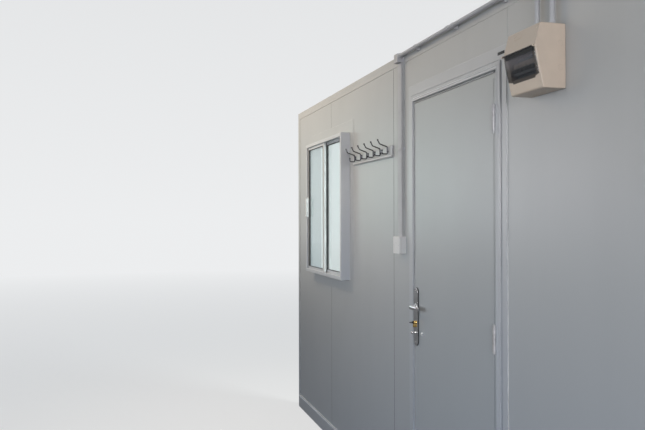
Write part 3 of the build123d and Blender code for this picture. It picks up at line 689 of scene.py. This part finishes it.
def make_sash_trim():
    """Glazing gaskets, brush seals, the open track's fillers and white strips on the sashes' rails, painted
    as the daylight on them.
    """
    far, near, frame = span("sash_far"), span("sash_near"), span("window_frame")
    gaskets = []
    for sash in (far, near):
        for face, way in ((sash.front, -1), (sash.back, 1)):
            lip, glass = face + way * 0.0012, sash.mid_y + way * 0.0026
            gaskets.append(framing(sash, [(0.0232, face), (0.0236, lip), (0.0252, lip), (0.0272, glass),
                                          (0.0238, glass)]))
    piece("glazing_gaskets", gaskets, "seal_rubber", sharp=50)
    tall = (far.low + 0.006, far.high - 0.006)
    brushes = [slab((start, start + 0.007), (far.back - 0.0006, near.front + 0.0006), tall)
               for start in (far.near - 0.01, near.far + 0.003)]
    brushes.append(slab((far.far - 0.0004, far.far + 0.003), (frame.front + 0.0085, far.front + 0.0004),
                        tall))
    piece("brush_seals", brushes, "seal_rubber")
    fillers = [slab((far.near + 0.002, frame.near - 0.024), (frame.front + 0.0104, frame.front + 0.0258),
                    (low, low + 0.0052)) for low in (far.low + 0.0005, far.high - 0.0057)]
    piece("track_fillers", fillers, "window_paint")
    # White strips on the meeting stile and the near sash's top rail: painted light for the daylight on them.
    edge, tall = far.near, (far.low + 0.001, far.high - 0.001)
    strips = [slab((edge - 0.0004, edge + 0.0008), (far.front + 0.0006, far.back - 0.0006), tall, 0.0003),
              slab((edge - 0.017, edge + 0.0008), (far.front - 0.0008, far.front + 0.0004), tall, 0.0003),
              slab((edge + 0.003, near.near - 0.001), (near.front - 0.0012, near.front + 0.0004),
                   (near.high - 0.0225, near.high - 0.001))]
    piece("sash_painted_light_strips", strips, "white_plastic")


def make_sash_pull():
    """Moulded pull on the far sash, with a waisted grip, and its screws."""
    pull = span("window_latch")
    wide, high = (pull.near - pull.far) / 2, (pull.high - pull.low) / 2
    # Depth before the sash, growth of the width, growth of the height
    stations = ((0.0, 0.0, 0.0), (0.0035, 0.0, 0.0), (0.0046, -0.0008, -0.001), (0.0052, -0.001, -0.007),
                (0.012, -0.0018, -0.009), (0.02, -0.001, -0.008), (0.0226, -0.0014, -0.0086),
                (0.0238, -0.0036, -0.011))
    rings = [oval(place(pull.mid_s, pull.back - depth, pull.mid_z), NEAR, UP, wide + grow, high + ends,
                  48, 7.0) for depth, grow, ends in stations]
    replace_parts(piece("sash_pull", [loft(rings)], "white_plastic", sharp=40), "window_latch")
    screws = [screw(place(pull.mid_s, pull.back - 0.005, z), ROOM, 0.003)
              for z in (pull.low + 0.0055, pull.high - 0.0055)]
    piece("sash_pull_screws", screws, "hinge_steel")


def make_switch_fittings():
    """Rocker with a dished face, plate screws, seams, grey strips painted as shade on the trunking's sides,
    and its strap.
    """
    rocker, box, trunk = span("switch_rocker"), span("switch_box"), span("switch_trunking")
    half = (rocker.high - rocker.low) / 2 - 0.0004
    rings = []
    for share in evenly(0, 1, 13):
        face = rocker.front + 0.0018 - 0.00748 * abs(share - 0.42) ** 1.6
        outline = [(rocker.far + 0.0004, rocker.back), (rocker.far + 0.0004, face + 0.0006),
                   (rocker.far + 0.0012, face), (rocker.near - 0.0012, face),
                   (rocker.near - 0.0004, face + 0.0006), (rocker.near - 0.0004, rocker.back)]
        rings.append([place(s, y, rocker.mid_z + half * (2 * share - 1)) for s, y in outline])
    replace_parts(piece("switch_rocker_face", [loft(rings)], "white_plastic"), "switch_rocker")
    screws = [screw(place(s, box.front, box.mid_z), ROOM, 0.003, 0.0008)
              for s in (box.far + 0.011, box.near - 0.011)]
    piece("switch_screws", screws, "hinge_steel")
    seams = [framing(box, [(out, box.front + depth) for out, depth in (
        (0.0, 0.0085), (-0.0007, 0.009), (-0.0007, 0.01), (0.0, 0.0105))])]
    # Grey strips over the trunking's sides, darker than its front: painted shade.
    base = []
    front, tall = trunk.front, (trunk.low, trunk.high)
    for edge, way in ((trunk.far, -1), (trunk.near, 1)):
        outer = edge + way * 0.0008
        seams.append(slab((edge, outer), (front + 0.005, front + 0.0058), tall, 0.0002))
        base.append(slab((edge - way * 0.0004, outer), (front + 0.003, ROOM_FACE + 0.0004), tall, 0.0003))
    piece("plastic_seams", seams, "sealant")
    piece("trunking_painted_shade_sides", base, "grey_seal")
    side, tall = trunk.near, (1.893, 1.911)
    strap = [slab((trunk.far - 0.001, side + 0.001), (front - 0.0014, front), tall, 0.0006, 2),
             slab((side, side + 0.0014), (front - 0.0014, ROOM_FACE), tall, 0.0006, 2),
             slab((side + 0.0008, side + 0.016), (ROOM_FACE - 0.0016, ROOM_FACE), tall, 0.0006, 2)]
    piece("trunking_strap", strap, "conduit_plastic")
    fixing = screw(place(side + 0.01, ROOM_FACE - 0.0016, sum(tall) / 2), ROOM, 0.0032)
    piece("strap_screw", [fixing], "hinge_steel")


def make_conduit_fittings():
    """Couplers, adaptors and saddle screws on the conduit."""
    run, saddles = span("ceiling_conduit"), span("conduit_saddles")
    y, z, bend = run.mid_y, run.high - 0.01, run.near - 0.01
    coupler = [(0.01, 0.0), (0.0122, 0.0006), (0.0124, 0.003), (0.0124, 0.021), (0.0122, 0.0234),
               (0.01, 0.024)]
    adaptor = [(0.01, 0.0), (0.0127, 0.0008), (0.0129, 0.003), (0.0129, 0.009), (0.0122, 0.01),
               (0.012, 0.018), (0.01, 0.019)]
    board_top = span("board_back_box").high
    fittings = [lathe(profile, place(s, y, height), axis, 32) for profile, s, height, axis in (
        (coupler, run.far + 0.56, z, NEAR), (coupler, run.near - 0.088, z, NEAR), (adaptor, run.far, z, NEAR),
        (adaptor, bend, board_top, UP), (adaptor, span("board_riser").mid_s, board_top, UP),
        (coupler, bend, z - 0.072, UP))]
    piece("conduit_fittings", fittings, "conduit_plastic")
    screws = [screw(place(s, ROOM_FACE - 0.014, saddles.low + 0.0034), ROOM, 0.0028)
              for s in evenly(saddles.far + 0.007, saddles.near - 0.007, 3)]
    piece("saddle_screws", screws, "hinge_steel")


def ridge(along=0.0):
    """Point on the edge between the board cover's two slopes, so far along the wall from its middle."""
    cover = span("board_cover")
    return place(cover.mid_s + along, ROOM_FACE - 0.118, cover.low + 0.142)


def slope(run, drop, way):
    """Directions along a face that leans by run over drop, up (1) or down (-1), and out of it."""
    lean = atan2(run, drop)
    along = Vector((0, sin(lean), way * cos(lean)))
    return along, Vector((0, -cos(lean), way * sin(lean)))


def make_flap():
    """Bowed smoked pane with its barrel and pin, and a dark rib along its top that paints the shade there."""
    corner = ridge()
    down, out = slope(0.032, 0.142, -1)
    half, tongue = 0.0965, 0.0965
    # Distance down the slope, and lift of the middle over it in millimetres
    rows = [(0.002, 0.6), (0.004, 2.0), (0.01, 4.4), (0.025, 6.4), (0.045, 7.6), (0.065, 7.6),
            (0.085, 6.2), (0.096, 4.8), (0.101, 3.8), (0.1045, 2.4), (0.106, 1.2)]
    columns = [-1.0, -0.997, -0.985, -0.955, -0.9, -0.6, -0.2, 0.2, 0.6, 0.9, 0.955, 0.985, 0.997, 1.0]
    rings = []
    for run, lift in rows:
        reach = half - 0.026 if run > tongue else half
        outer, inner = [], []
        for column in columns:
            base = corner + NEAR * column * reach + down * run
            edge = max(0.0, (abs(column) - 0.955) / 0.045)
            rise = max(lift / 1000 * (1 - edge ** 3), 0.0006)
            outer.append(base + out * rise)
            inner.append(base + out * max(rise - 0.002, 0.0003) - NEAR * column * 0.002)
        rings.append(outer + inner[::-1])
    hinge = corner + Vector((0, -0.004, -0.003))
    rods = [loft([oval(hinge + NEAR * x, YARD, UP, radius, radius, sides) for x in (-end, end)])
            for end, radius, sides in ((half, 0.003, 16), (half + 0.005, 0.0014, 12))]
    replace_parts(piece("flap_pane", [loft(rings), *rods], "smoked_plastic", "flap", 50), "board_flap")
    # Dark rubber rib on the flap's top: painted shade.
    section = [corner + down * run + out * lift
               for run, lift in ((0.004, 0.0006), (0.004, 0.0016), (0.019, 0.0028), (0.019, 0.0006))]
    rib = loft([[point + NEAR * x for point in section] for x in (-0.09, 0.09)])
    piece("flap_painted_shade_rib", [rib], "seal_rubber", "flap")


def make_breakers():
    """Nine modules with raised fronts, pale marking strips and dark toggles."""
    row, rail = span("board_breakers"), span("board_rail")
    count, parting, z = 9, 0.0003, rail.mid_z
    pitch = (row.near - row.far + parting) / count
    nose = row.front + 0.008
    bodies, toggles, faces = [], [], []
    for number in range(count):
        left = row.far + pitch * number
        right = left + pitch - parting
        bodies.append(slab((left, right), (nose + 0.016, rail.front), (z - 0.039, z + 0.039), 0.0008, 2))
        bodies.append(slab((left, right), (nose, nose + 0.02), (z - 0.0225, z + 0.0225), 0.001, 2))
        faces.append(slab((left + 0.0006, right - 0.0006), (nose - 0.0006, nose + 0.001),
                          (z + 0.004, z + 0.021)))
        toggles.append(slab((left + 0.004, right - 0.004), (row.front, nose + 0.002),
                            (z - 0.013, z - 0.001), 0.0012, 2))
    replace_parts(piece("breaker_bodies", bodies, "breaker_plastic"), "board_breakers")
    piece("breaker_faces", faces, "beige_plastic")
    piece("breaker_toggles", toggles, "seal_rubber")


def make_cover_marks():
    """Blank oval on the board's upper slope, knock-outs in its foot and sides, and the cover's screws."""
    cover = span("board_cover")
    upper, lower = slope(0.02, 0.076, 1), slope(0.032, 0.142, -1)
    up, out = upper
    centre = ridge(-0.028) + up * 0.053
    rim = [(-0.0004, 1.0), (0.001, 0.985), (0.0012, 0.95), (0.0012, 0.86), (0.0004, 0.83), (0.0004, 0.02)]
    marks = [loft([oval(centre + out * lift, NEAR, up, 0.026 * size, 0.0065 * size, 40, 3.0)
                   for lift, size in rim])]
    large = [(0.0125, 0.0), (0.0125, 0.0005), (0.0118, 0.0008), (0.0105, 0.0008), (0.01, 0.0002),
             (0.0002, 0.0002)]
    small = [(0.0105, 0.0), (0.0105, 0.0004), (0.0098, 0.0007), (0.0088, 0.0007), (0.0084, 0.0002),
             (0.0002, 0.0002)]
    spots = [(large, s, 0.0, DOWN) for s in (cover.far + 0.055, cover.mid_s, cover.near - 0.055)]
    spots += [(small, s, rise, way) for rise in (0.07, 0.15)
              for s, way in ((cover.far, FAR), (cover.near, NEAR))]
    marks += [lathe(profile, place(s, ROOM_FACE - 0.02, cover.low + rise), way, 32)
              for profile, s, rise, way in spots]
    piece("board_marks", marks, "beige_plastic")
    reach = (cover.near - cover.far) / 2 - 0.012
    screws = [screw(ridge(along) + run * far + out * 0.0002, out, 0.0034)
              for along in (-reach, reach) for far, (run, out) in ((0.062, upper), (0.124, lower))]
    piece("board_screws", screws, "beige_plastic")


def make_door_sweep():
    """Rubber sweep under the door leaf."""
    leaf = span("door_core")
    sweep = slab((leaf.far + 0.012, leaf.near - 0.012), (leaf.front + 0.01, leaf.back - 0.01),
                 (0.0145, leaf.low + 0.0005), 0.0015, 2)
    piece("door_sweep", [sweep], "seal_rubber", "door")


def door_opening():
    """Far, near and top edge of the frame's opening round the door leaf."""
    rebate = 0.015
    return span("lock_jamb").near - rebate, span("hinge_jamb").far + rebate, span("frame_head").low + rebate


def make_gap_seal():
    """Grey seal in the gap round the door leaf, left out where the hinges are."""
    far, near, top = door_opening()
    section = [(-0.0002, -0.012), (-0.0002, -0.023), (0.0022, -0.0305), (0.003, -0.0318), (0.0046, -0.0318),
               (0.0054, -0.0305), (0.0054, -0.014)]
    strips = [loft([[place(far + inward, y, z) for inward, y in section] for z in (FRAME_FOOT, top)]),
              slab((far, near - 0.026), (-0.0318, -0.014), (top - 0.0086, top - 0.0016), 0.0008, 2)]
    hinges = span("leaf_hinges")
    blocked = HINGE_HALF + 0.004
    ends = [FRAME_FOOT]
    for centre in (hinges.low + HINGE_HALF, hinges.mid_z, hinges.high - HINGE_HALF):
        ends += [centre - blocked, centre + blocked]
    ends.append(top - 0.01)
    for low, high in zip(ends[::2], ends[1::2]):
        strips.append(slab((near - 0.0032, near + 0.0002), (-0.0318, -0.016), (low, high), 0.0006, 2))
    piece("gap_seal", strips, "grey_seal")


def make_frame_trim():
    """Folded hem round the frame's opening, a pale line painted as the highlight on its head, a dark patch
    painted as the shade in a slot on the head, and two buffers.
    """
    far, near, top = door_opening()
    section = [(0.0014, -0.03), (0.0014, -0.0385), (0.0022, -0.04), (0.004, -0.0404), (0.006, -0.0398),
               (0.023, -0.0334), (0.0252, -0.0322), (0.0256, -0.03)]
    hem = loft([[place(edge + way * out, y, z + rise * out) for out, y in section] for edge, way, z, rise in (
        (far, -1, FRAME_FOOT, 0), (far, -1, top, 1), (near, 1, top, 1), (near, 1, FRAME_FOOT, 0))])
    piece("frame_hem", [hem], "trim_paint", sharp=20)
    # A pale line along the head's edge: a painted highlight.
    line = slab((far + 0.002, near - 0.002), (-0.0386, -0.0366), (top + 0.0142, top + 0.0176), 0.0006, 2)
    piece("head_painted_highlight_line", [line], "white_plastic")
    # A dark patch at the head's corner, where the frame has a slot: painted shade.
    slot = slab((3.29, 3.342), (FRAME_FLAT - 0.0008, FRAME_FLAT + 0.001), (2.176, 2.188), 0.0004, 2)
    piece("frame_slot_painted_shade", [slot], "seal_rubber")
    buffer = [(0.006, 0.0), (0.0062, 0.002), (0.0045, 0.0034), (0.0004, 0.0036)]
    s, y = span("lock_jamb").near - 0.0075, span("door_core").back + 0.001
    buffers = [lathe(buffer, place(s, y, z), ROOM, 20) for z in (0.35, 1.85)]
    piece("frame_buffers", buffers, "seal_rubber")


def make_details():
    """All the fittings. The random draws of the sealant follow this order."""
    for make in (make_coat_hooks, make_lock, make_turn, make_hinge_screws, make_frame_beads, make_joint_seals,
                 make_rivets, make_sash_trim, make_sash_pull, make_switch_fittings, make_conduit_fittings,
                 make_flap, make_breakers, make_cover_marks, make_door_sweep, make_gap_seal, make_frame_trim):
        make()


# Stage

def make_camera():
    """Camera where the photographer stood, near the end of the room."""
    camera = bpy.data.objects.new("camera", bpy.data.cameras.new("camera"))
    camera.data.lens = CAMERA_LENS
    camera.data.sensor_width = 36.0
    camera.data.clip_start = 0.02
    level = cos(CAMERA_PITCH)
    forward = Vector((-cos(CAMERA_YAW) * level, sin(CAMERA_YAW) * level, sin(CAMERA_PITCH)))
    right = forward.cross(UP).normalized()
    up = right.cross(forward)
    c, s = cos(CAMERA_ROLL), sin(CAMERA_ROLL)
    rotation = Matrix((c * right + s * up, c * up - s * right, -forward)).transposed().to_4x4()
    camera.matrix_world = Matrix.Translation(CAMERA_PLACE) @ rotation
    bpy.context.collection.objects.link(camera)
    bpy.context.scene.camera = camera


def lamp(name, position, target, size, power, colour, cone=180, mirrored=False):
    """Rectangular area lamp that looks at a target, its light kept to a cone of so many degrees."""
    data = bpy.data.lights.new(name, "AREA")
    data.shape = "RECTANGLE"
    data.size, data.size_y = size
    data.energy = power
    data.color = colour
    data.spread = radians(cone)
    obj = bpy.data.objects.new(name, data)
    obj.location = position
    obj.rotation_euler = (Vector(target) - Vector(position)).to_track_quat("-Z", "Y").to_euler()
    obj.visible_glossy = mirrored
    bpy.context.collection.objects.link(obj)


def calculate(tree, operation, first, second, clamp=False):
    """Result of a math node on two values, each a number or another node's output."""
    node = tree.nodes.new("ShaderNodeMath")
    node.operation = operation
    node.use_clamp = clamp
    for socket, value in zip(node.inputs, (first, second)):
        if isinstance(value, float):
            socket.default_value = value
        else:
            tree.links.new(value, socket)
    return node.outputs["Value"]


def band(tree, value, low, high, soft):
    """1 between two values with soft edges, 0 elsewhere."""
    rise = spread(tree, value, low - soft, low + soft, 0.0, 1.0)
    fall = spread(tree, value, high - soft, high + soft, 1.0, 0.0)
    return calculate(tree, "MULTIPLY", rise, fall)


def seen_directly(tree, mirrored=1.0):
    """1 for rays from the camera or through glass, and a share of that for mirrored rays."""
    path = tree.nodes.new("ShaderNodeLightPath")
    total = calculate(tree, "MULTIPLY", path.outputs["Is Glossy Ray"], mirrored)
    for name in ("Is Camera Ray", "Is Transmission Ray"):
        total = calculate(tree, "MAXIMUM", total, path.outputs[name])
    return total


def glow(tree, colour, strength):
    """Emission of a colour, its strength given by a node."""
    node = tree.nodes.new("ShaderNodeEmission")
    node.inputs["Color"].default_value = (*colour, 1)
    tree.links.new(strength, node.inputs["Strength"])
    return node.outputs[0]


def mix_shaders(tree, factor, first, second):
    """Blend of two shaders by a factor."""
    node = tree.nodes.new("ShaderNodeMixShader")
    for socket, value in zip(node.inputs, (factor, first, second)):
        tree.links.new(value, socket)
    return node.outputs[0]


def make_floor():
    """Plain floor, pale to the eye, that keeps the wall's shadow and bounces little light onto its foot."""
    bpy.ops.mesh.primitive_plane_add(size=80, location=(0, 0, 0))
    floor = bpy.context.object
    floor.name = "stage_floor"
    tree, body = shader("stage_floor", (0.4, 0.4, 0.4), 0.9, specular=0.0)
    seen = seen_directly(tree, 0.2)
    tone = blend_colours(tree, seen, (0.1, 0.1, 0.11), (0.3, 0.3, 0.3))
    tree.links.new(tone, body.inputs["Base Color"])
    position = tree.nodes.new("ShaderNodeTexCoord")
    distance = tree.nodes.new("ShaderNodeVectorMath")
    distance.operation = "LENGTH"
    tree.links.new(position.outputs["Object"], distance.inputs[0])
    mirrored = spread(tree, distance.outputs["Value"], 4.0, 36.0, 0.2, 0.8)
    far_away = spread(tree, distance.outputs["Value"], 4.0, 18.0, 0.0, 1.0)
    lit = tree.nodes.new("ShaderNodeAddShader")
    tree.links.new(body.outputs[0], lit.inputs[0])
    tree.links.new(glow(tree, scaled(BACKDROP, 0.68), seen), lit.inputs[1])
    horizon = glow(tree, BACKDROP, seen_directly(tree, mirrored))
    surface = mix_shaders(tree, far_away, lit.outputs[0], horizon)
    tree.links.new(surface, tree.nodes["Material Output"].inputs["Surface"])
    floor.data.materials.append(MATERIALS["stage_floor"])


def make_world():
    """Soft sky for the light, pale backdrop. Gloss also shows a grey room with daylight at its far side."""
    world = bpy.data.worlds.new("studio")
    world.use_nodes = True
    tree = world.node_tree
    light = tree.nodes["Background"]
    light.inputs["Color"].default_value = (0.82, 0.92, 1.0, 1)
    light.inputs["Strength"].default_value = 0.28
    _, y, z = axes(tree, "ShaderNodeTexCoord", "Generated")

    side = calculate(tree, "MULTIPLY", spread(tree, y, -0.36, -0.26, 1.0, 0.0),
                     spread(tree, z, 0.24, 0.5, 1.0, 0.0))
    path = tree.nodes.new("ShaderNodeLightPath").outputs
    mirrored = calculate(tree, "SUBTRACT", path["Is Glossy Ray"], path["Is Transmission Ray"], clamp=True)
    room = calculate(tree, "MULTIPLY", side, mirrored)
    upward = spread(tree, z, -0.02, 0.22, 0.0, 1.0)
    grey = blend_colours(tree, upward, (0.11, 0.115, 0.13), (0.42, 0.38, 0.33))
    window = calculate(tree, "MULTIPLY", band(tree, y, -0.64, -0.3, 0.08), band(tree, z, -0.02, 0.12, 0.07))
    farther = spread(tree, y, -0.5, -0.36, 0.0, 1.0)
    daylight = blend_colours(tree, farther, (2.1, 2.05, 2.25), (1.4, 2.1, 2.0))
    grey = blend_colours(tree, window, grey, daylight)

    pale = blend_colours(tree, spread(tree, z, 0.0, 0.9, 0.0, 1.0), BACKDROP, (0.66, 0.67, 0.68))
    backdrop = tree.nodes.new("ShaderNodeBackground")
    tree.links.new(blend_colours(tree, room, pale, grey), backdrop.inputs["Color"])
    surface = mix_shaders(tree, seen_directly(tree), light.outputs[0], backdrop.outputs[0])
    tree.links.new(surface, tree.nodes["World Output"].inputs["Surface"])
    bpy.context.scene.world = world


def make_stage():
    """Pale floor, backdrop and soft lamps: far ceiling, across the room, near the camera, and the yard."""
    make_floor()
    make_world()
    lamp("ceiling_light", (-1.9, -1.4, 3.1), (-1.3, 0.0, 2.0), (2.8, 0.8), 34, (1.0, 0.8, 0.56))
    lamp("room_light", (1.3, -4.0, 1.7), (1.3, 0.0, 1.1), (5.0, 0.8), 23, (0.88, 0.94, 1.0), 90)
    lamp("near_light", (6.2, -1.5, 2.0), (0.8, 0.0, 1.0), (2.2, 0.9), 112, (0.98, 0.97, 1.0), mirrored=True)
    lamp("yard_light", (3.4, 4.2, 3.0), (-0.6, 0.0, 1.4), (3.0, 2.0), 360, (0.93, 1.0, 0.98))


def main():
    """Loads the frame, dresses it and sets the stage."""
    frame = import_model()
    random.seed(7)
    bpy.context.scene.view_settings.view_transform = "Standard"
    make_materials()
    dress_nodes(frame)
    make_details()
    make_camera()
    make_stage()


main()
